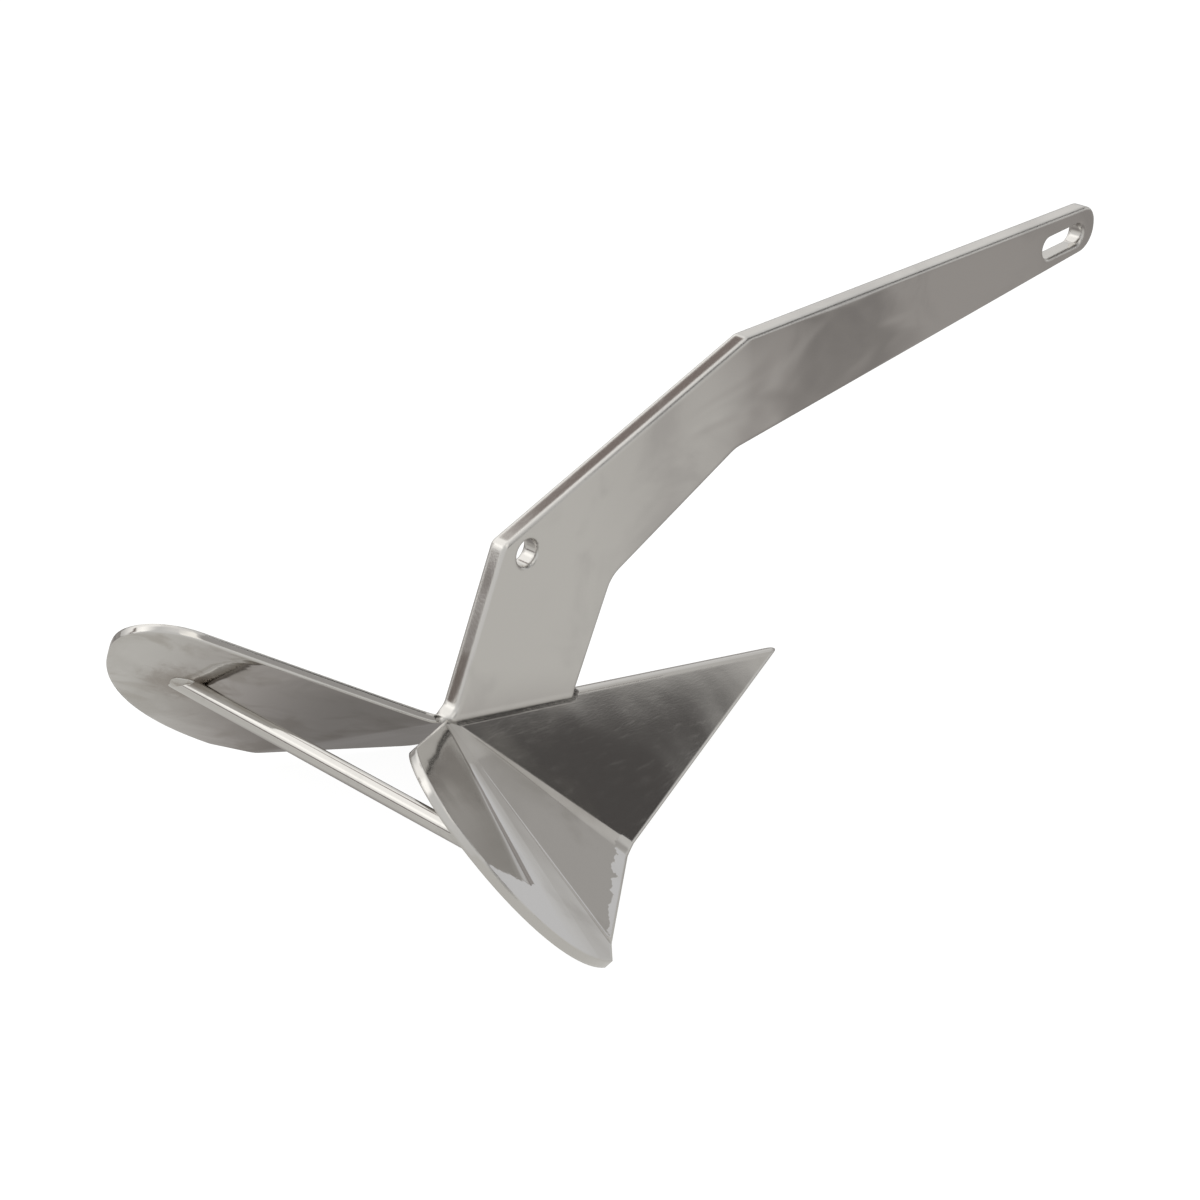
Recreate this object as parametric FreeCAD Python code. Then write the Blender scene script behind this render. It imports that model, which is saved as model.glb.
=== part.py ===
import FreeCAD, Part
import math
import os

from FreeCAD import Placement, Rotation, Vector

# A polished stainless plough anchor of the fixed, one-piece kind. A cranked flat
# shank stands on the ridge of a folded plate fluke. A round bar ties the two
# wings together behind the heel, and a solid wedge closes the toe from below.
#
# The pieces are drawn in the fluke's own frame: the heel of the ridge is at the
# origin, +X runs along the ridge to the toe, +Z stands square to the ridge on
# the shank's side, and y = 0 is the mirror plane. At the end they are pitched
# nose down, so that the anchor stands on its toe and its two chines.

# Fluke, as one half of its flat blank. Each point is given by its distance from
# the heel and its angle from the ridge, and every bend runs out from the heel.
plate = 5.0                  # thickness of the folded plate
ridge_length = 293.5         # heel to toe, before its rounding
chine_reach = 127.6          # outer end of the first bend, where the front edge turns
chine_angle = 55.6
shoulder_reach = 161.5       # outer end of the second, crisp bend
shoulder_angle = 90.4
tip_reach = 176.9            # low corner of the wing, before rounding
tip_angle = 97.1
flank_reach = 188.1          # middle of the wing's long outer arc
flank_angle = 122.0
horn_reach = 167.2           # upper rear corner, before rounding
horn_angle = 154.6
rear_cut = 12.0              # rear edge, as far in front of the heel as it aims at the ridge
tip_round = 5.0
horn_round = 40.0
toe_round = 4.5

# Bends, in degrees. Each one is spread over a slice of the blank, so that it
# opens out from the heel; the dish is the same kind of bend over half the wing.
ridge_drop = 34.3            # each front panel, down from level
chine_bend = 12.4            # up, as are the others
chine_spread = 6.0
shoulder_bend = 17.7
shoulder_spread = 1.6
dish_bend = 10.1
dish_start = 103.0
ridge_bend_radius = 3.0      # inside radius of the bend along the ridge

# Shank plate, seen square to its side
shank_thick = 12.0
foot_rear = 5.7              # rear edge, where it meets the ridge
foot_front = 100.2           # front edge, where it meets the ridge
rear_lean = 10.6             # rear edge, degrees forward of square
front_lean = 12.7            # front edge, degrees forward of square
hip_height = 94.3            # upper rear corner above the ridge
back_rise = 31.65            # upper edge of the middle stretch, degrees to the ridge
back_length = 204.5          # hip to upper crank
arm_rise = 12.84             # upper edge of the front stretch
knee_height = 66.4           # lower rear corner above the ridge
belly_rise = 37.27           # lower edge of the middle stretch
belly_length = 113.3         # knee to lower crank
throat_rise = 18.88          # lower edge of the front stretch
hip_round = 6.0
crank_round = 8.0
knee_round = 18.0
throat_round = 22.0
nose_top_round = 13.0
nose_low_round = 16.0
edge_round = 2.0             # polished round along the outline's edges
weld_round = 6.0             # hollow of the polished weld along the foot
heel_weld_rise = 3.0         # weld behind the foot, from this height on the rear edge
heel_weld_drop = 5.0         # down to this depth below the ridge
heel_weld_back = 0.4         # and this far behind the heel
heel_weld_round = 8.0

# Shackle slot near the nose, and tripping-line hole below the hip
slot_length = 45.0
slot_width = 15.0
slot_reach = 313.4           # upper crank to the slot's middle, along the arm
slot_rise = 16.0             # slot's axis, degrees to the ridge
slot_drop = 1.7              # below the middle of the arm
nose_reach = 35.3            # slot's centre to the end of the nose
trip_bore = 16.0
trip_from_back = 14.5        # hole's centre to the upper edge
trip_from_rear = 18.9        # hole's centre to the rear edge
mouth_round = 1.5            # polished round at the mouths of the slot and the hole

# Cross bar between the wings, and wedge inside the toe
bar_diameter = 10.5
bar_back = 79.2              # behind the heel
bar_drop = 15.2              # below the ridge
ballast_length = 186.5
ballast_lift = 1.0           # its lower face above the floor

heel = Vector(0, 0, 0)
toe = Vector(ridge_length, 0, 0)
up = Vector(0, 0, 1)
across = Vector(0, 1, 0)
large = 4.0 * ridge_length   # size of the cutting blocks, beyond the anchor
spill = 12.0                 # how far a piece is drawn past the plane that trims it
rounded_share = 0.96         # most of a side that the roundings at its two ends may take
smooth = math.radians(3)     # a corner of the wing that turns less is smooth already
beyond = 1.5 * horn_reach    # outside the wing's outline


def polar(distance, angle):
    """Point of the flat blank."""
    radians = math.radians(angle)
    return Vector(distance * math.cos(radians), distance * math.sin(radians), 0)


def line(a, b):
    return Part.LineSegment(a, b).toShape()


def closed(points):
    """Face inside straight lines from point to point."""
    return Part.Face(Part.makePolygon(points + points[:1]))


def mirrored(shape):
    return shape.mirror(heel, across)


def half_space(normal, anchor=heel):
    """Large block on the side of a plane that its normal points to."""
    block = Part.makeBox(large, large, large, Vector(-large / 2, -large / 2, 0))
    block.Placement = Placement(anchor, Rotation(up, normal))
    return block


def crossing(a, b, angle):
    """Where the ray at an angle from the heel crosses the line from a to b, in the blank."""
    normal = polar(1, angle + 90)
    share = a.dot(normal) / (a - b).dot(normal)
    return a + (b - a) * share


class Bend:
    """A slice of the blank rolled up on a round cone, whose point is at the heel."""

    def __init__(self, turn, start, end, bend):
        self.start = start
        self.end = end
        self.before = turn
        half_angle = math.atan((end - start) / bend)
        along = turn.multVec(polar(1, start))
        normal = turn.multVec(up)
        self.axis = along * math.cos(half_angle) + normal * math.sin(half_angle)
        self.sweep = (end - start) / math.sin(half_angle)
        self.after = self.turned(end)

    def turned(self, angle):
        """Turn that lays the blank flat against the cone along one of its rays."""
        roll = Rotation(self.axis, self.sweep * (angle - self.start) / (self.end - self.start))
        return roll.multiply(self.before).multiply(Rotation(up, self.start - angle))

    def shell(self, reach):
        """The bent plate of the whole slice, out to a distance from the heel."""
        out = self.before.multVec(polar(reach, self.start))
        down = self.before.multVec(up * -plate)
        return closed([heel, out, out + down, down]).revolve(heel, self.axis, self.sweep)

    def between(self, first, last):
        """The bent plate between the heel and two points of the blank's outline."""
        ends = []
        for turn, point in ((self.before, first), (self.after, last)):
            tip = turn.multVec(point)
            rise = turn.multVec(up * spill)
            ends.append(Part.makePolygon([rise, tip + rise, tip - rise, rise * -1.0, rise]))
        keep = Part.makeLoft(ends, True, True)
        return self.shell(beyond).common(keep)


front_turn = Rotation(Vector(1, 0, 0), -ridge_drop)
chine_fold = Bend(front_turn, chine_angle - chine_spread / 2, chine_angle + chine_spread / 2, chine_bend)
shoulder_fold = Bend(
    chine_fold.after, shoulder_angle - shoulder_spread / 2, shoulder_angle + shoulder_spread / 2, shoulder_bend
)
dish = Bend(shoulder_fold.after, dish_start, horn_angle, dish_bend)

chine = polar(chine_reach, chine_angle)
shoulder = polar(shoulder_reach, shoulder_angle)
tip = polar(tip_reach, tip_angle)
front_end = crossing(toe, chine, chine_fold.start)
middle_start = crossing(chine, shoulder, chine_fold.end)
middle_end = crossing(chine, shoulder, shoulder_fold.start)
wing_start = crossing(shoulder, tip, shoulder_fold.end)
rear_start = crossing(polar(rear_cut, 0), polar(horn_reach, horn_angle), shoulder_fold.end)


def facet(points, turn):
    """Flat slice of the blank in its bent place."""
    slab = closed(points).extrude(up * -plate)
    slab.Placement = Placement(heel, turn)
    return slab


def ridge_edges(shape):
    """Edges of the front panels along the mirror plane, upper skin first."""
    found = []
    for edge in shape.Edges:
        on_plane = all(abs(v.Point.y) < 1e-6 for v in edge.Vertexes)
        if on_plane and edge.Length > ridge_length / 2:
            found.append(edge)
    return sorted(found, key=lambda e: -e.BoundBox.ZMax)


def roof():
    """Both front panels with the ridge bent round, drawn past all their ends."""
    back = toe * (-5 * spill / ridge_length)
    ahead = toe * (1 + 2 * spill / ridge_length)
    down = (front_end - toe) * (1 + 5 * spill / ridge_length)
    side = facet([back, ahead, ahead + down, back + down], front_turn).common(half_space(across))
    pair = side.fuse(mirrored(side)).removeSplitter()
    pair = pair.makeFillet(ridge_bend_radius + plate, ridge_edges(pair)[:1])
    pair = pair.makeFillet(ridge_bend_radius, ridge_edges(pair)[-1:])
    return pair


def behind_toe():
    """Block behind the toe's two front faces, which meet in a rounded corner."""
    edge = front_turn.multVec(front_end) - toe
    block = half_space(front_turn.multVec(up).cross(edge), toe)
    block = block.common(mirrored(block))
    lip = min(block.Edges, key=lambda e: e.distToShape(Part.Vertex(toe))[0])
    return block.makeFillet(toe_round, [lip])


def front_panels():
    """Both panels from the toe to the first bends."""
    keep = half_space(front_turn.multVec(polar(1, chine_fold.start - 90)))
    return roof().common(keep).common(mirrored(keep)).common(behind_toe())


def wing_plan(distance, angle):
    """Point of the dished wing, seen square to its flat front part."""
    point = shoulder_fold.after.inverted().multVec(dish.turned(angle).multVec(polar(distance, angle)))
    return Vector(point.x, point.y, 0)


def rounded_edge(shape, corner, radius):
    """Round the edge of a block that stands on a corner of its outline."""
    standing = [e for e in shape.Edges if e.BoundBox.ZLength > 2 * spill]
    standing.sort(key=lambda e: e.distToShape(Part.Vertex(corner))[0])
    return shape.makeFillet(radius, standing[:1])


def wing():
    """Flat front part and dished rear part, inside one outline."""
    horn = wing_plan(horn_reach, horn_angle)
    lobe = Part.Arc(tip, wing_plan(flank_reach, flank_angle), horn).toShape()
    inner = rear_start + (rear_start - horn) * 0.1
    outline = Part.Wire([line(inner, wing_start), line(wing_start, tip), lobe, line(horn, inner)])
    block = Part.Face(outline).extrude(up * (8 * spill))
    block.translate(up * (-3 * spill))
    if (tip - wing_start).getAngle(lobe.tangentAt(lobe.FirstParameter)) > smooth:
        block = rounded_edge(block, tip, tip_round)
    block = rounded_edge(block, horn, horn_round)
    block.Placement = Placement(heel, shoulder_fold.after).multiply(block.Placement)
    flat = facet(
        [heel, polar(beyond, shoulder_fold.end), polar(beyond, dish_start)], shoulder_fold.after
    )
    past = Bend(dish.before, dish.start, dish.end + 5, dish_bend * (1 + 5 / (dish.end - dish.start)))
    return flat.fuse(past.shell(beyond)).common(block)


def behind_heel():
    """Block that trims the heel, in line with the wing's rear edge."""
    horn = wing_plan(horn_reach, horn_angle)
    turn = shoulder_fold.after
    block = half_space(turn.multVec((rear_start - horn).cross(up)), turn.multVec(rear_start))
    return block.common(half_space(across))


def build_fluke():
    side = chine_fold.between(front_end, middle_start)
    side = side.fuse([
        facet([heel, middle_start, middle_end], chine_fold.after),
        shoulder_fold.between(middle_end, wing_start),
        wing(),
    ])
    side = side.common(half_space(across))
    fluke = front_panels().fuse([side, mirrored(side)]).removeSplitter()
    trim = behind_heel()
    return fluke.cut([trim, mirrored(trim)]).Solids[0]


def aimed(angle):
    """Direction in the shank's plane, at an angle above the ridge."""
    flat = polar(1, angle)
    return Vector(flat.x, 0, flat.y)


def meeting(p, p_dir, q, q_dir):
    """Where two lines in the shank's plane cross."""
    gap = q - p
    turn = p_dir.x * q_dir.z - p_dir.z * q_dir.x
    return p + p_dir * ((gap.x * q_dir.z - gap.z * q_dir.x) / turn)


root = -plate                # the foot's blank ends inside the plate under it
back_dir = aimed(90 - rear_lean)
front_dir = aimed(90 - front_lean)
foot_back = Vector(foot_rear, 0, 0)
foot_end = Vector(foot_front, 0, 0)
hip = foot_back + back_dir * (hip_height / back_dir.z)
knee = foot_end + front_dir * (knee_height / front_dir.z)
crank = hip + aimed(back_rise) * back_length
throat = knee + aimed(belly_rise) * belly_length
trip_hole = meeting(
    hip + aimed(back_rise - 90) * trip_from_back, aimed(back_rise),
    hip + aimed(-rear_lean) * trip_from_rear, back_dir,
)
over_slot = crank + aimed(arm_rise) * slot_reach
under_slot = meeting(over_slot, aimed(arm_rise - 90), throat, aimed(throat_rise))
slot_middle = (over_slot + under_slot) * 0.5 + aimed(arm_rise - 90) * slot_drop
nose = slot_middle + aimed(slot_rise) * nose_reach


def fitting_radii(corners):
    """The corners' radii, less where two roundings would meet on the side between them."""
    reach = []
    for i, (corner, radius) in enumerate(corners):
        before = corners[i - 1][0] - corner
        after = corners[(i + 1) % len(corners)][0] - corner
        reach.append(radius / math.tan(before.getAngle(after) / 2))
    shares = []
    for i, (corner, radius) in enumerate(corners):
        room = rounded_share * (corners[i - 1][0] - corner).Length
        shares.append(room / max(reach[i - 1] + reach[i], room))
    return [
        (corner, radius * min(shares[i], shares[(i + 1) % len(corners)]))
        for i, (corner, radius) in enumerate(corners)
    ]


def rounded_outline(corners):
    """Closed wire of straight edges and arcs, from corners given with their radii."""
    corners = fitting_radii(corners)
    edges = []
    ends = []
    for i, (corner, radius) in enumerate(corners):
        before = corners[i - 1][0] - corner
        after = corners[(i + 1) % len(corners)][0] - corner
        half = before.getAngle(after) / 2
        before.normalize()
        after.normalize()
        inward = before + after
        inward.normalize()
        start = corner + before * (radius / math.tan(half))
        end = corner + after * (radius / math.tan(half))
        if radius > 0:
            middle = corner + inward * (radius / math.sin(half) - radius)
            edges.append(Part.Arc(start, middle, end).toShape())
        ends.append((start, end))
    for i, (start, end) in enumerate(ends):
        edges.append(line(ends[i - 1][1], start))
    return Part.Wire(Part.__sortEdges__(edges))


def through_plate(wire):
    """Solid of the shank's thickness, centred on the mirror plane."""
    solid = Part.Face(wire).extrude(across * shank_thick)
    solid.translate(across * (-shank_thick / 2))
    return solid


def slot_wire():
    along = aimed(slot_rise) * ((slot_length - slot_width) / 2)
    side = aimed(slot_rise + 90) * (slot_width / 2)
    outward = aimed(slot_rise) * (slot_width / 2)
    return Part.Wire([
        line(slot_middle - along + side, slot_middle + along + side),
        Part.Arc(
            slot_middle + along + side, slot_middle + along + outward, slot_middle + along - side
        ).toShape(),
        line(slot_middle + along - side, slot_middle - along - side),
        Part.Arc(
            slot_middle - along - side, slot_middle - along - outward, slot_middle - along + side
        ).toShape(),
    ])


def side_edges(solid):
    """Edges that lie on the two broad sides of the shank plate."""
    found = []
    for edge in solid.Edges:
        box = edge.BoundBox
        if box.YLength < 1e-6 and abs(abs(box.YMin) - shank_thick / 2) < 1e-6:
            found.append(edge)
    return found


def near(edge, point, distance):
    """Whether the middle of an edge, seen square to the plate, is close to a point."""
    middle = edge.BoundBox.Center
    return Vector(middle.x - point.x, 0, middle.z - point.z).Length < distance


def build_shank(fluke):
    blank = through_plate(rounded_outline([
        (Vector(-heel_weld_back, 0, -heel_weld_drop), 0),
        (foot_back + back_dir * (heel_weld_rise / back_dir.z), heel_weld_round),
        (hip, hip_round),
        (crank, crank_round),
        (meeting(crank, aimed(arm_rise), nose, aimed(slot_rise + 90)), nose_top_round),
        (meeting(throat, aimed(throat_rise), nose, aimed(slot_rise + 90)), nose_low_round),
        (throat, throat_round),
        (knee, knee_round),
        (foot_end + front_dir * (root / front_dir.z), 0),
    ]))
    outline = [e for e in side_edges(blank) if e.BoundBox.ZMax > root + 1e-6]
    blank = blank.makeFillet(edge_round, outline)
    hole = Part.makeCylinder(trip_bore / 2, shank_thick, trip_hole - across * (shank_thick / 2), across)
    blank = blank.cut([through_plate(slot_wire()), hole])
    mouths = [
        e for e in side_edges(blank)
        if near(e, trip_hole, trip_bore / 4) or near(e, slot_middle, slot_length / 2)
    ]
    blank = blank.makeFillet(mouth_round, mouths)
    base = roof()
    joined = blank.fuse(base)
    foot = []
    for edge in joined.Edges:
        box = edge.BoundBox
        beside = max(-box.YMin, box.YMax) < shank_thick / 2 + 1e-3
        along = -spill < box.XMin and box.XMax < foot_front + spill
        if beside and along and -plate < box.ZMin and box.ZMax < -1e-3:
            foot.append(edge)
    beaded = nearest_solid(joined.makeFillet(weld_round, foot).cut(base), crank)
    shank = beaded.fuse(blank).removeSplitter().cut(fluke)
    return nearest_solid(shank, crank)


def nearest_solid(shape, point):
    """The solid of a cut shape that lies closest to a point."""
    return min(shape.Solids, key=lambda s: s.distToShape(Part.Vertex(point))[0])


def build_cross_bar(fluke):
    """Round bar from wing to wing, ending against the inner skins."""
    length = 2 * flank_reach
    middle = Vector(-bar_back, 0, -bar_drop)
    bar = Part.makeCylinder(bar_diameter / 2, length, middle - across * (length / 2), across)
    return nearest_solid(bar.cut(fluke), middle)


def floor_line(fluke, shank):
    """Rear and front points, in the mirror plane, of the line that the floor follows."""
    heavy = Part.makeCompound([fluke, shank])
    balance = heavy.CenterOfGravity
    hull = []
    for point in sorted((Vector(p.x, 0, p.z) for p in fluke.tessellate(0.1)[0]), key=lambda p: (p.x, p.z)):
        while len(hull) > 1 and (hull[-1] - hull[-2]).cross(point - hull[-1]).y >= 0:
            hull.pop()
        hull.append(point)
    for rear, front in zip(hull, hull[1:]):
        along = front - rear
        if 0 <= (balance - rear).dot(along) <= along.dot(along):
            return rear, front
    raise ValueError("the anchor would not stand on its fluke")


def build_ballast(fluke, floor):
    """Wedge that fills the toe between the two front panels."""
    rear, front = floor
    panel_n = front_turn.multVec(up)
    base_n = Vector(rear.z - front.z, 0, front.x - rear.x)
    base_n.normalize()
    block = half_space(panel_n * -1.0, panel_n * -plate)
    block = block.common(mirrored(block)).common(behind_toe())
    block = block.common(half_space(base_n, front + base_n * ballast_lift))
    block = block.common(half_space(Vector(1, 0, 0), toe - Vector(ballast_length, 0, 0)))
    return max(block.cut(fluke).Solids, key=lambda s: s.Volume)


def stood(shapes, floor):
    """Pitch the anchor onto the floor, with its middle over the origin."""
    rear, front = floor
    rake = math.degrees(math.atan2(rear.z - front.z, front.x - rear.x))
    turn = Placement(heel, Rotation(across, -rake))
    placed = {}
    for name, shape in shapes.items():
        placed[name] = shape.copy()
        placed[name].Placement = turn.multiply(shape.Placement)
    box = Part.makeCompound(list(placed.values())).optimalBoundingBox(False, False)
    for shape in placed.values():
        shape.translate(Vector(-box.Center.x, 0, -box.ZMin))
    return placed


def build_all():
    fluke = build_fluke()
    shank = build_shank(fluke)
    floor = floor_line(fluke, shank)
    shapes = {
        "fluke": fluke,
        "shank": shank,
        "cross_bar": build_cross_bar(fluke),
        "toe_ballast": build_ballast(fluke, floor),
    }
    return stood(shapes, floor)


if __name__ == "__main__":
    os.makedirs("parts", exist_ok=True)
    for name, shape in build_all().items():
        print(name, shape.isValid(), round(shape.Volume), len(shape.Solids), len(shape.Faces))
        shape.exportStep("parts/%s.step" % name)
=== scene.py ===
import math

import bmesh
import bpy
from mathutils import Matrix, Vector


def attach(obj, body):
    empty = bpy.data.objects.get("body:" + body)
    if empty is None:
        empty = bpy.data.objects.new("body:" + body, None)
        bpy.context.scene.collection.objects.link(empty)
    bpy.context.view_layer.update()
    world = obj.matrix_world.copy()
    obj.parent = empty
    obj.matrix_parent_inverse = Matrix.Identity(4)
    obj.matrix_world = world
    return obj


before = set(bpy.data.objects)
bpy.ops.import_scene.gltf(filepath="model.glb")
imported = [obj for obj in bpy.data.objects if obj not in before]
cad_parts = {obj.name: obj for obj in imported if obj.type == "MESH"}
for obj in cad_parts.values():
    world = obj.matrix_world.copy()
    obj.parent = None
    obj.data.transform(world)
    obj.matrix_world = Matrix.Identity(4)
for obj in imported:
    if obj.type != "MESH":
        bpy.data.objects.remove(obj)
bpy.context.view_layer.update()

# A polished stainless plough anchor on a pale studio floor. Lengths are in metres, and
# colours are linear. A range for Tree.ramp is low, high, and the values at those two.

# The photograph's view
camera_place = (-1.0371, -0.9017, 0.8030)
camera_turn = (61.410, 0.844, -46.158)       # degrees
lens_length = 78.0                           # mm
film_width = 36.0                            # mm
camera_sees = 0.05, 50.0

# Studio: light from low and high directions, and the heights in degrees between them
low_light = (0.68, 0.675, 0.66, 1)
high_light = (0.75, 0.75, 0.74, 1)
light_heights = -12.0, 18.0
white = (1, 1, 1, 1)

# Panels and cards of the studio, seen only in the steel. The first four values are degrees:
# azimuth, elevation, half width and half height. Then come softness and colour.
PANELS = (
    ("left_window", 95, 42, 48, 30, 12, (1.26, 1.25, 1.22)),
    ("window_glow", 138, 33, 14, 8, 7, (1.55, 1.54, 1.50)),
    ("back_left_wall", 138, 3, 20, 8, 6, (0.85, 0.84, 0.82)),
    ("ceiling", 0, 84, 180, 16, 14, (1.0, 0.99, 0.97)),
    ("brown_beam", 61, 46, 8, 5, 3, (0.25, 0.21, 0.195)),
    ("bright_lamp", -112, 54, 26, 13, 5, (1.3, 1.28, 1.22)),
    ("right_wall", -78, 48, 9, 8, 4, (0.42, 0.41, 0.40)),
    ("dark_gap", -75, 11, 11, 9, 4, (0.09, 0.085, 0.08)),
    ("front_haze", 4, 24, 13, 9, 4, (0.62, 0.61, 0.59)),
    ("front_wall", 12, 12, 15, 4.5, 2.5, (0.46, 0.45, 0.435)),
    ("front_light", 17, 1.5, 13, 5, 2.5, (0.72, 0.725, 0.74)),
    ("front_glow", 36, 18, 8, 6, 6, (0.85, 0.84, 0.82)),
    ("window_frame", 121, 20, 5, 7, 2, (0.27, 0.235, 0.22)),
    ("far_shade", 140, 6.2, 6, 4.0, 0.8, (0.22, 0.195, 0.185)),
    ("dark_card", -34.8, 40.2, 29.2, 15, 1.1, (0.091, 0.086, 0.084)),
)

# Floor, and its painted light in the steel: a glow that falls off along a slanting way
# across the floor, rises and falls once more, and has a painted shadow under the wings
floor_size = 12
paper_colour = (0.16, 0.16, 0.16, 1)
paper_glow = 0.95
slant_across = 0.85
slant_start = 0.1275
near_glow = 0.0, 0.36, 0.80, 0.35
far_rise = 0.37, 0.48, 0.0, 0.15
far_fall = 0.54, 0.66, 0.0, 0.05
# Painted shadow of the anchor on the floor, seen only in the steel: its centre, and its ramp by
# distance
painted_shadow_place = (-0.20, 0.05, 0)
painted_shadow = 0.06, 0.21, 0.28, 0.81
tint_glow = 0.3, 0.7
shaded_tint = (1.0, 0.95, 0.915, 1)
bright_tint = (1.0, 0.99, 0.95, 1)

# How far the polishing softens the light on each edge
fluke_round = 0.0024
shank_round = 0.0036
round_samples = 8
bump_depth = 0.001

# Heel of the ridge, where all the fluke's bends start, and the way its upper side faces
heel = (-0.2373, 0.0, 0.0802)
wing_up = (0.6, 0.0, 0.8)
wing_down = (-0.6, 0.0, -0.8)
upper_from = 0.5

# Second bend of a wing: its line from the heel, the wing's own way across, and the turn
# of the surface that the soft part of the bend adds beside the crisp line
bend_line = (-0.1148, -0.8889, -0.4435)
bend_across = (-0.7459, -0.2177, 0.6295)
bend_turn = (-0.258, -0.047, 0.161)
bend_share = 0.36, 0.66, 0.85, 0.0           # by how far a spot is turned from the line
bend_end = 0.1315, 0.1330, 0.0, 0.8          # from here on the turn takes in the whole wing
bend_least = 0.001                           # closest to the heel

# Rim of the wing's middle panel, rolled off by the polishing: a corner on it, the way
# the panel faces, the way out of it, and the turn by how far inside a spot is
chine_corner = (-0.1811, -0.0870, 0.0040)
belly_face = (0.391, -0.449, 0.801)
belly_out = (0.502, -0.626, -0.596)
rolled_rim = -0.0095, -0.0080, 0.0, 0.11
belly_level = 0.978

# Ragged edges of the bend's end, the rolled rim and the weld's stain: size and depth
bend_ragged = 160.0, 0.008
rim_ragged = 120.0, 0.016
stain_ragged = 90.0, 0.030

# Stain round the bar's welds, and smears of the polishing wheel in the wings' hollow
weld_stain = (0.36, 0.325, 0.29, 1)
stain_reach = 0.010, 0.030, 1.0, 0.0
wheel_haze = (0.47, 0.445, 0.41, 1)
hollow_facing = 0.3, 0.6
behind_heel = -0.245, -0.225, 1.0, 0.0
smear_stretch = (1.0, 0.45, 1.0)
smear_turn = (0.0, 0.4, 0.9)
smear_cover = 0.48, 0.68
smear_size = 24.0
lump_size = 20.0
smear_colour = 0.7
smear_rough = 0.06
smear_height = 5.0
stain_colour = 0.8
stain_rough = 0.10

# Slanting swells in the shank's wide faces, from the upper crank along the arm
wide_facing = 0.90, 0.99
swell_start = -0.06, 0.01
swell_end = 0.12, 0.24, 1.0, 0.0
swell_stretch = (0.45, 1.0, 1.3)
swell_turn = (0.0, 0.75, 0.0)
swell_size = 22.0

# Handling marks on all the steel
cloud_level = 0.72
cloud_spread = 0.4
cloud_softness = 0.22
streak_stretch = (25, 260, 260)
streak_cover = 0.5, 0.8
streak_rough = 0.04
grain_stretch = (60, 900, 900)

# Each steel: clean and clouded colour and roughness, size and height of its waves,
# height of its grain, size and cover of its clouds
STEELS = {
    "fluke_steel": {
        "colours": ((0.645, 0.63, 0.61, 1), (0.51, 0.492, 0.465, 1)), "roughness": (0.06, 0.12),
        "waves": (16, 1.6), "grain": 0.02, "clouds": (11, 0.6),
        "rounding": fluke_round, "bend": True,
    },
    "shank_steel": {
        "colours": ((0.66, 0.645, 0.625, 1), (0.58, 0.565, 0.55, 1)), "roughness": (0.09, 0.15),
        "waves": (12, 4.5), "grain": 0.05, "clouds": (12, 0.55),
        "rounding": shank_round, "swell": 30.0,
    },
    "bar_steel": {
        "colours": ((0.66, 0.645, 0.625, 1), (0.58, 0.57, 0.55, 1)), "roughness": (0.08, 0.14),
        "waves": (30, 0.5), "grain": 0.05, "clouds": (40, 0.4),
    },
    "ballast_steel": {
        "colours": ((0.5, 0.49, 0.475, 1), (0.42, 0.41, 0.40, 1)), "roughness": (0.28, 0.38),
        "waves": (40, 1.0), "grain": 0.4, "clouds": (30, 0.5),
    },
    "weld_steel": {
        "colours": ((0.60, 0.585, 0.56, 1), (0.46, 0.43, 0.40, 1)), "roughness": (0.14, 0.26),
        "waves": (160, 3.0), "grain": 0.2, "clouds": (120, 0.7), "bump": 0.6,
    },
}
NODE_STEELS = {
    "fluke": "fluke_steel",
    "shank": "shank_steel",
    "cross_bar": "bar_steel",
    "toe_ballast": "ballast_steel",
}

# Ends of the cross bar, where it is welded to the wings: the far one, the way that the
# wing faces there, and the weld's bead
bar_end = (-0.3177, 0.1168, 0.0861)
wing_out = (0.700, 0.412, 0.583)
weld_radius = 0.0095
weld_flat = 0.30
weld_segments = 48
weld_rings = 24

FLOAT = "NodeSocketFloat"
COLOUR = "NodeSocketColor"
VECTOR = "NodeSocketVector"


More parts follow.
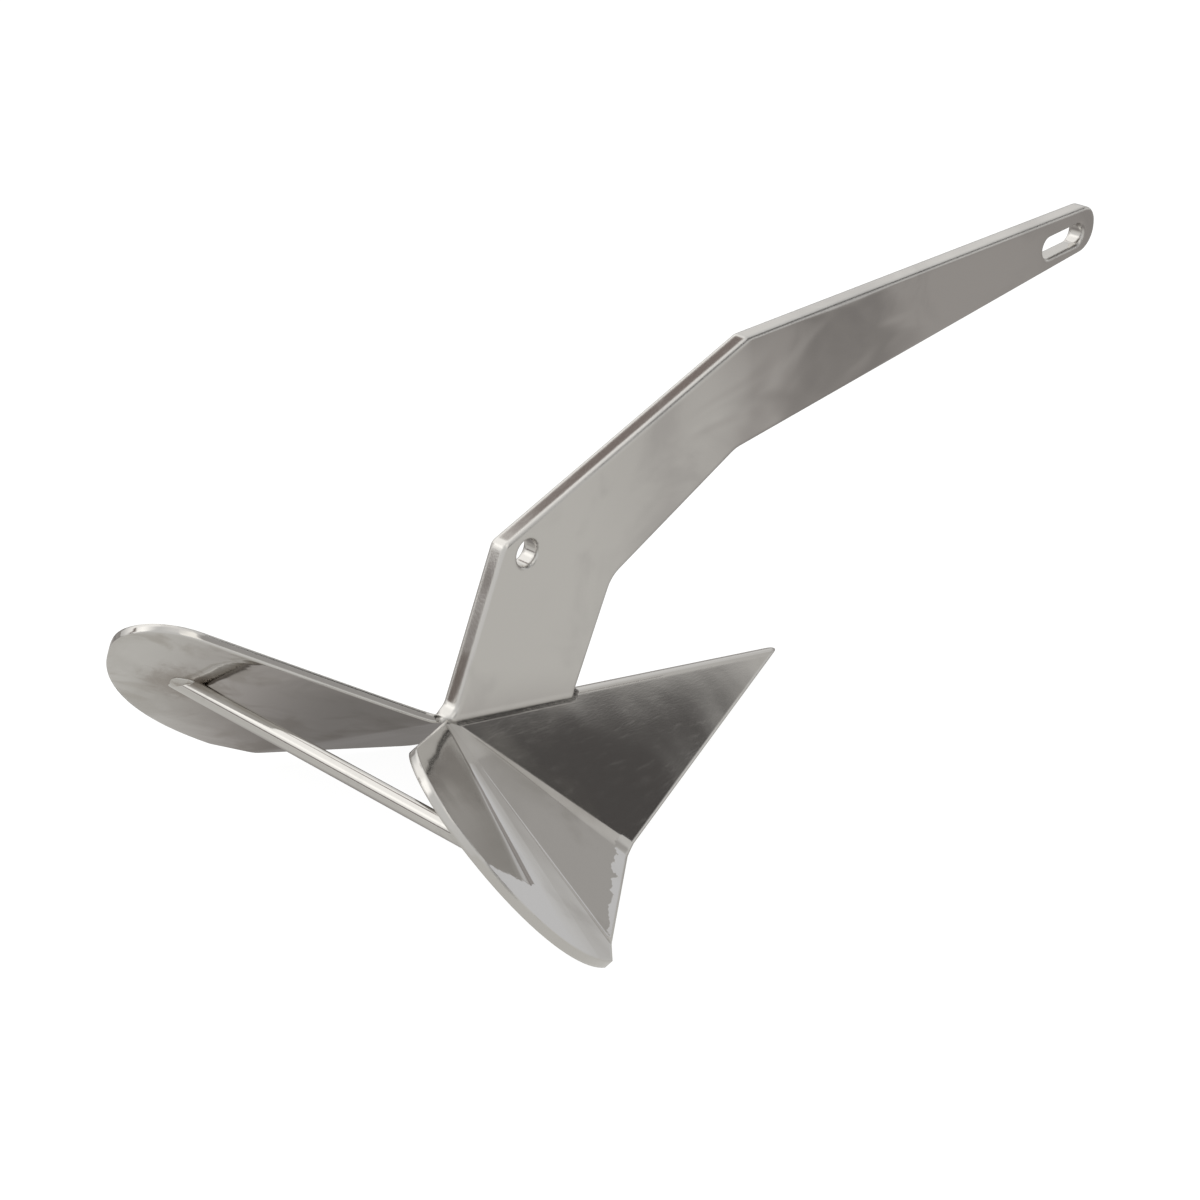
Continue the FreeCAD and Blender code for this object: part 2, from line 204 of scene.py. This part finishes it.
class Tree:
    """Short ways to add and join the nodes of one material, world or group."""

    def __init__(self, tree):
        self.tree = tree

    def add(self, kind, **values):
        node = self.tree.nodes.new("ShaderNode" + kind)
        for name, value in values.items():
            setattr(node, name, value)
        return node

    def feed(self, node, socket, value):
        if isinstance(value, bpy.types.NodeSocket):
            self.tree.links.new(value, node.inputs[socket])
        else:
            node.inputs[socket].default_value = value

    def made(self, kind, values, **settings):
        """New node with these values on its sockets, each by its number or name."""
        node = self.add(kind, **settings)
        for socket, value in values.items():
            self.feed(node, socket, value)
        return node

    def math(self, operation, *values):
        return self.made("Math", dict(enumerate(values)), operation=operation).outputs[0]

    def vector(self, operation, *values):
        node = self.made("VectorMath", dict(enumerate(values)), operation=operation)
        return node.outputs["Value" if operation in ("DOT_PRODUCT", "DISTANCE") else "Vector"]

    def scaled(self, vector, share):
        node = self.made("VectorMath", {0: vector, "Scale": share}, operation="SCALE")
        return node.outputs[0]

    def blend(self, share, a, b):
        return self.made("Mix", {0: share, 2: a, 3: b}, data_type="FLOAT").outputs[0]

    def blend_colour(self, share, a, b):
        return self.made("Mix", {0: share, 6: a, 7: b}, data_type="RGBA").outputs[2]

    def ramp(self, value, low, high, at_low=0.0, at_high=1.0):
        values = dict(enumerate((value, low, high, at_low, at_high)))
        return self.made("MapRange", values, interpolation_type="SMOOTHSTEP").outputs[0]

    def noise(self, vector, scale, detail, roughness, distortion=0.0):
        values = {"Vector": vector, "Scale": scale, "Detail": detail, "Roughness": roughness,
                  "Distortion": distortion}
        return self.made("TexNoise", values).outputs[0]

    def stretched(self, vector, scale, turn=(0, 0, 0)):
        values = {"Vector": vector, "Rotation": turn, "Scale": scale}
        return self.made("Mapping", values).outputs[0]

    def facing(self):
        return self.add("NewGeometry").outputs["True Normal"]

    def split(self, vector):
        return self.made("SeparateXYZ", {0: vector}).outputs

    def joined(self, x, y, z):
        return self.made("CombineXYZ", {0: x, 1: y, 2: z}).outputs[0]

    def folded(self, place, side):
        """The same spot of the anchor on one side of its mirror plane, -1 near or 1 far."""
        x, y, z = self.split(place)
        return self.joined(x, self.math("MULTIPLY", self.math("ABSOLUTE", y), side), z)

    def roughened(self, value, place, size, depth):
        """The value moved up and down by half the depth, to make an edge ragged."""
        ragged = self.noise(place, size, detail=3.0, roughness=0.6)
        return self.math("MULTIPLY_ADD", ragged, depth, self.math("SUBTRACT", value, depth / 2))


def new_group(name, inputs, outputs):
    """Empty node group: the group, its tree, the sockets it is given and its output node."""
    group = bpy.data.node_groups.new(name, "ShaderNodeTree")
    for in_out, sockets in (("INPUT", inputs), ("OUTPUT", outputs)):
        for label, kind in sockets:
            group.interface.new_socket(label, in_out=in_out, socket_type=kind)
    first = group.nodes.new("NodeGroupInput")
    last = group.nodes.new("NodeGroupOutput")
    return group, Tree(group), first.outputs, last


def photo_camera():
    data = bpy.data.cameras.new("photo_camera")
    data.lens = lens_length
    data.sensor_width = film_width
    data.clip_start, data.clip_end = camera_sees
    camera = bpy.data.objects.new("photo_camera", data)
    camera.location = camera_place
    camera.rotation_euler = [math.radians(angle) for angle in camera_turn]
    bpy.context.scene.collection.objects.link(camera)
    bpy.context.scene.camera = camera


def panel_group():
    """A soft-edged panel or dark card of the studio, placed by direction in degrees."""
    group, tree, given, out = new_group(
        "studio_panel",
        [("Light", COLOUR), ("Azimuth", FLOAT), ("Elevation", FLOAT),
         ("Panel Azimuth", FLOAT), ("Panel Elevation", FLOAT),
         ("Half Width", FLOAT), ("Half Height", FLOAT), ("Softness", FLOAT),
         ("Colour", COLOUR)],
        [("Light", COLOUR)],
    )
    off_side = tree.math("SUBTRACT", given["Azimuth"], given["Panel Azimuth"])
    off_side = tree.math("WRAP", off_side, 180.0, -180.0)
    off_side = tree.math("SUBTRACT", tree.math("ABSOLUTE", off_side), given["Half Width"])
    off_up = tree.math("SUBTRACT", given["Elevation"], given["Panel Elevation"])
    off_up = tree.math("SUBTRACT", tree.math("ABSOLUTE", off_up), given["Half Height"])
    outside = tree.math("MAXIMUM", off_side, off_up)
    inner = tree.math("MULTIPLY", given["Softness"], -1.0)
    share = tree.ramp(outside, inner, given["Softness"], 1.0, 0.0)
    tree.feed(out, "Light", tree.blend_colour(share, given["Light"], given["Colour"]))
    return group


def studio_light():
    """Soft light from all round, with the panels that the steel mirrors."""
    world = bpy.data.worlds.new("studio")
    world.use_nodes = True
    tree = Tree(world.node_tree)
    x, y, z = tree.split(tree.add("TexCoord").outputs["Generated"])
    azimuth = tree.math("DEGREES", tree.math("ARCTAN2", y, x))
    elevation = tree.math("DEGREES", tree.math("ARCSINE", z))
    light = tree.blend_colour(tree.ramp(elevation, *light_heights), low_light, high_light)
    group = panel_group()
    for name, side, up, half_width, half_height, softness, colour in PANELS:
        values = {
            "Light": light, "Azimuth": azimuth, "Elevation": elevation,
            "Panel Azimuth": side, "Panel Elevation": up, "Half Width": half_width,
            "Half Height": half_height, "Softness": softness, "Colour": (*colour, 1),
        }
        light = tree.made("Group", values, node_tree=group, name=name).outputs[0]
    seen = tree.add("LightPath").outputs["Is Camera Ray"]
    light = tree.blend_colour(seen, light, white)
    tree.feed(world.node_tree.nodes["Background"], "Color", light)
    bpy.context.scene.world = world


def painted_floor_light(tree, place):
    """Painted light of the floor where the steel mirrors it, with a painted shadow under the
    wings.
    """
    x, y, _ = tree.split(place)
    slant = tree.math("ADD", x, tree.math("MULTIPLY_ADD", y, slant_across, slant_start))
    glow = tree.ramp(slant, *near_glow)
    glow = tree.math("ADD", glow, tree.ramp(slant, *far_rise))
    glow = tree.math("SUBTRACT", glow, tree.ramp(slant, *far_fall))
    # Painted shadow: the glow is darker close to the spot under the wings
    under = tree.vector("DISTANCE", place, painted_shadow_place)
    return tree.math("MULTIPLY", glow, tree.ramp(under, *painted_shadow))


def studio_floor():
    bpy.ops.mesh.primitive_plane_add(size=floor_size)
    floor = bpy.context.object
    floor.name = "studio_floor"
    paper = bpy.data.materials.new("pale_paper")
    paper.use_nodes = True
    tree = Tree(paper.node_tree)
    matt = paper.node_tree.nodes["Principled BSDF"]
    matt.inputs["Base Color"].default_value = paper_colour
    matt.inputs["Roughness"].default_value = 1.0
    matt.inputs["Specular IOR Level"].default_value = 0.0
    matt.inputs["Emission Color"].default_value = white
    matt.inputs["Emission Strength"].default_value = paper_glow
    glow = painted_floor_light(tree, tree.add("TexCoord").outputs["Object"])
    tint = tree.blend_colour(tree.ramp(glow, *tint_glow), shaded_tint, bright_tint)
    # The steel sees the floor as a glow of painted light and painted shadow; the camera sees
    # the plain paper
    mirrored = tree.made("Emission", {"Color": tint, "Strength": glow})
    seen = tree.add("LightPath").outputs["Is Camera Ray"]
    both = tree.made("MixShader", {0: seen, 1: mirrored.outputs[0], 2: matt.outputs[0]})
    tree.feed(paper.node_tree.nodes["Material Output"], 0, both.outputs[0])
    floor.data.materials.append(paper)


def wave_group():
    """Uneven polish: slow waves that bend reflections, and fine grain along one direction."""
    group, tree, given, out = new_group(
        "uneven_polish",
        [("Vector", VECTOR), ("Wave Size", FLOAT), ("Wave Height", FLOAT),
         ("Grain Height", FLOAT)],
        [("Height", FLOAT)],
    )
    slow = tree.noise(given["Vector"], given["Wave Size"], detail=1.5, roughness=0.45)
    slow = tree.math("MULTIPLY", slow, given["Wave Height"])
    grain = tree.stretched(given["Vector"], grain_stretch)
    grain = tree.noise(grain, 1.0, detail=2.0, roughness=0.6)
    grain = tree.math("MULTIPLY", grain, given["Grain Height"])
    tree.feed(out, "Height", tree.math("ADD", slow, grain))
    return group


def smudge_group():
    """Cloudy handling marks as a mask, and thin wiping streaks."""
    group, tree, given, out = new_group(
        "wiping_marks",
        [("Vector", VECTOR), ("Cloud Size", FLOAT), ("Cover", FLOAT)],
        [("Clouds", FLOAT), ("Streaks", FLOAT)],
    )
    clouds = tree.noise(
        given["Vector"], given["Cloud Size"], detail=4.0, roughness=0.55, distortion=0.6)
    low = tree.math("MULTIPLY", given["Cover"], cloud_spread)
    low = tree.math("SUBTRACT", cloud_level, low)
    clouds = tree.ramp(clouds, low, tree.math("ADD", low, cloud_softness))
    tree.feed(out, "Clouds", clouds)
    streaks = tree.stretched(given["Vector"], streak_stretch)
    streaks = tree.noise(streaks, 1.0, detail=3.0, roughness=0.7, distortion=0.3)
    tree.feed(out, "Streaks", tree.ramp(streaks, *streak_cover))
    return group


def smear_group():
    """Smears that the polishing wheel left on the hollow side of the wings, behind the heel."""
    group, tree, given, out = new_group(
        "wheel_smears", [("Vector", VECTOR), ("Normal", VECTOR)],
        [("Smears", FLOAT), ("Height", FLOAT), ("Hollow", FLOAT)],
    )
    x, _, _ = tree.split(given["Vector"])
    hollow = tree.vector("DOT_PRODUCT", given["Normal"], wing_down)
    hollow = tree.ramp(hollow, *hollow_facing)
    hollow = tree.math("MULTIPLY", hollow, tree.ramp(x, *behind_heel))
    swirl = tree.stretched(given["Vector"], smear_stretch, smear_turn)
    smears = tree.noise(swirl, smear_size, detail=3.0, roughness=0.5, distortion=1.6)
    smears = tree.ramp(smears, *smear_cover)
    lumps = tree.noise(swirl, lump_size, detail=2.0, roughness=0.5, distortion=1.6)
    tree.feed(out, "Smears", tree.math("MULTIPLY", smears, hollow))
    tree.feed(out, "Height", tree.math("MULTIPLY", lumps, hollow))
    tree.feed(out, "Hollow", hollow)
    return group


def swell_group():
    """Long slanting swells in the shank's two wide faces, round the upper crank and the arm."""
    group, tree, given, out = new_group(
        "arm_swells", [("Vector", VECTOR), ("Normal", VECTOR)], [("Height", FLOAT)],
    )
    x, _, _ = tree.split(given["Vector"])
    _, facing, _ = tree.split(given["Normal"])
    wide = tree.ramp(tree.math("ABSOLUTE", facing), *wide_facing)
    reach = tree.math("MULTIPLY", tree.ramp(x, *swell_start), tree.ramp(x, *swell_end))
    slanted = tree.stretched(given["Vector"], swell_stretch, swell_turn)
    swells = tree.noise(slanted, swell_size, detail=1.5, roughness=0.45, distortion=0.5)
    tree.feed(out, "Height", tree.math("MULTIPLY", swells, tree.math("MULTIPLY", wide, reach)))
    return group


def bend_group():
    """The soft part of each wing's second bend, and the rolled rim of its middle panel."""
    group, tree, given, out = new_group(
        "soft_bend", [("Vector", VECTOR), ("Normal", VECTOR)], [("Normal", VECTOR)],
    )
    place, normal = given["Vector"], given["Normal"]
    side = tree.math("SIGN", tree.split(place)[1])
    near = tree.folded(place, -1.0)

    def sided(vector):
        """A direction on the near wing, mirrored for the far one."""
        return tree.joined(vector[0], tree.math("MULTIPLY", side, -vector[1]), vector[2])

    from_heel = tree.vector("SUBTRACT", near, heel)
    along = tree.vector("DOT_PRODUCT", from_heel, bend_line)
    across = tree.vector("DOT_PRODUCT", from_heel, bend_across)
    spread = tree.math("DIVIDE", across, tree.math("MAXIMUM", along, bend_least))
    reach = tree.roughened(along, place, *bend_ragged)
    share = tree.math("MAXIMUM", tree.ramp(spread, *bend_share), tree.ramp(reach, *bend_end))
    upper = tree.vector("DOT_PRODUCT", normal, wing_up)
    for value, least in ((across, 0.0), (along, 0.0), (upper, upper_from)):
        share = tree.math("MULTIPLY", share, tree.math("GREATER_THAN", value, least))
    turned = tree.vector("ADD", normal, tree.scaled(sided(bend_turn), share))

    inside = tree.vector("SUBTRACT", near, chine_corner)
    inside = tree.vector("DOT_PRODUCT", inside, belly_out)
    rolled = tree.ramp(tree.roughened(inside, place, *rim_ragged), *rolled_rim)
    level = tree.vector("DOT_PRODUCT", normal, sided(belly_face))
    rolled = tree.math("MULTIPLY", rolled, tree.math("GREATER_THAN", level, belly_level))
    turned = tree.vector("ADD", turned, tree.scaled(sided(belly_out), rolled))
    tree.feed(out, "Normal", tree.vector("NORMALIZE", turned))
    return group


def near_weld(tree, place):
    """Where the heat and polishing of the bar's end welds left their mark, 1 at the weld."""
    away = tree.vector("DISTANCE", tree.folded(place, 1.0), bar_end)
    size, depth = stain_ragged
    ragged = tree.noise(place, size, detail=4.0, roughness=0.65, distortion=0.8)
    ragged = tree.math("MULTIPLY_ADD", ragged, depth, -depth / 2)
    return tree.ramp(tree.math("ADD", away, ragged), *stain_reach)


def steel(name, groups, colours, roughness, waves, grain, clouds,
          bump=0.2, rounding=0.0, bend=False, swell=0.0):
    made = bpy.data.materials.new(name)
    made.use_nodes = True
    tree = Tree(made.node_tree)
    shader = made.node_tree.nodes["Principled BSDF"]
    place = tree.add("TexCoord").outputs["Object"]
    values = {"Vector": place, "Cloud Size": clouds[0], "Cover": clouds[1]}
    marks = tree.made("Group", values, node_tree=groups["marks"])
    values = {
        "Vector": place, "Wave Size": waves[0], "Wave Height": waves[1], "Grain Height": grain}
    polish = tree.made("Group", values, node_tree=groups["waves"])
    colour = tree.blend_colour(marks.outputs["Clouds"], *colours)
    rough = tree.blend(marks.outputs["Clouds"], *roughness)
    rough = tree.math(
        "ADD", rough, tree.math("MULTIPLY", marks.outputs["Streaks"], streak_rough))
    height = polish.outputs["Height"]
    if bend:
        values = {"Vector": place, "Normal": tree.facing()}
        smears = tree.made("Group", values, node_tree=groups["smears"])
        haze = smears.outputs["Smears"]
        weld = tree.math("MULTIPLY", near_weld(tree, place), smears.outputs["Hollow"])
        for mark, cover, tone, dulling in (
            (haze, smear_colour, wheel_haze, smear_rough),
            (weld, stain_colour, weld_stain, stain_rough),
        ):
            colour = tree.blend_colour(tree.math("MULTIPLY", mark, cover), colour, tone)
            rough = tree.math("ADD", rough, tree.math("MULTIPLY", mark, dulling))
        height = tree.math("MULTIPLY_ADD", smears.outputs["Height"], smear_height, height)
    if swell:
        values = {"Vector": place, "Normal": tree.facing()}
        swells = tree.made("Group", values, node_tree=groups["swells"])
        height = tree.math("MULTIPLY_ADD", swells.outputs["Height"], swell, height)
    shader.inputs["Metallic"].default_value = 1.0
    tree.feed(shader, "Base Color", colour)
    tree.feed(shader, "Roughness", rough)
    bumps = tree.made("Bump", {"Strength": bump, "Distance": bump_depth, "Height": height})
    if rounding:
        rounded = tree.made("Bevel", {"Radius": rounding}, samples=round_samples).outputs[0]
        if bend:
            values = {"Vector": place, "Normal": rounded}
            rounded = tree.made("Group", values, node_tree=groups["bend"]).outputs[0]
        tree.feed(bumps, "Normal", rounded)
    tree.feed(shader, "Normal", bumps.outputs[0])
    return made


def bar_welds(material):
    """Small polished beads round the bar's two ends, against the wings."""
    for side, name in ((1, "far_bar_weld"), (-1, "near_bar_weld")):
        shape = bmesh.new()
        bmesh.ops.create_uvsphere(
            shape, u_segments=weld_segments, v_segments=weld_rings, radius=weld_radius)
        bmesh.ops.scale(shape, vec=(1.0, 1.0, weld_flat), verts=shape.verts)
        out = Vector((wing_out[0], side * wing_out[1], wing_out[2]))
        turn = Vector((0, 0, 1)).rotation_difference(out).to_matrix()
        bmesh.ops.rotate(shape, cent=(0, 0, 0), matrix=turn, verts=shape.verts)
        bmesh.ops.translate(
            shape, vec=(bar_end[0], side * bar_end[1], bar_end[2]), verts=shape.verts)
        for face in shape.faces:
            face.smooth = True
        mesh = bpy.data.meshes.new(name)
        shape.to_mesh(mesh)
        shape.free()
        bead = bpy.data.objects.new(name, mesh)
        bpy.context.scene.collection.objects.link(bead)
        mesh.materials.append(material)
        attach(bead, "root")


def dress(nodes):
    """Put the steels on the anchor's pieces, and add the beads at the bar's ends."""
    groups = {
        "marks": smudge_group(), "waves": wave_group(), "bend": bend_group(),
        "smears": smear_group(), "swells": swell_group(),
    }
    steels = {name: steel(name, groups, **values) for name, values in STEELS.items()}
    for name, steel_name in NODE_STEELS.items():
        for slot in nodes[name].material_slots:
            slot.material = steels[steel_name]
    bar_welds(steels["weld_steel"])


bpy.context.scene.view_settings.view_transform = "Standard"
photo_camera()
studio_light()
studio_floor()
dress(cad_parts)
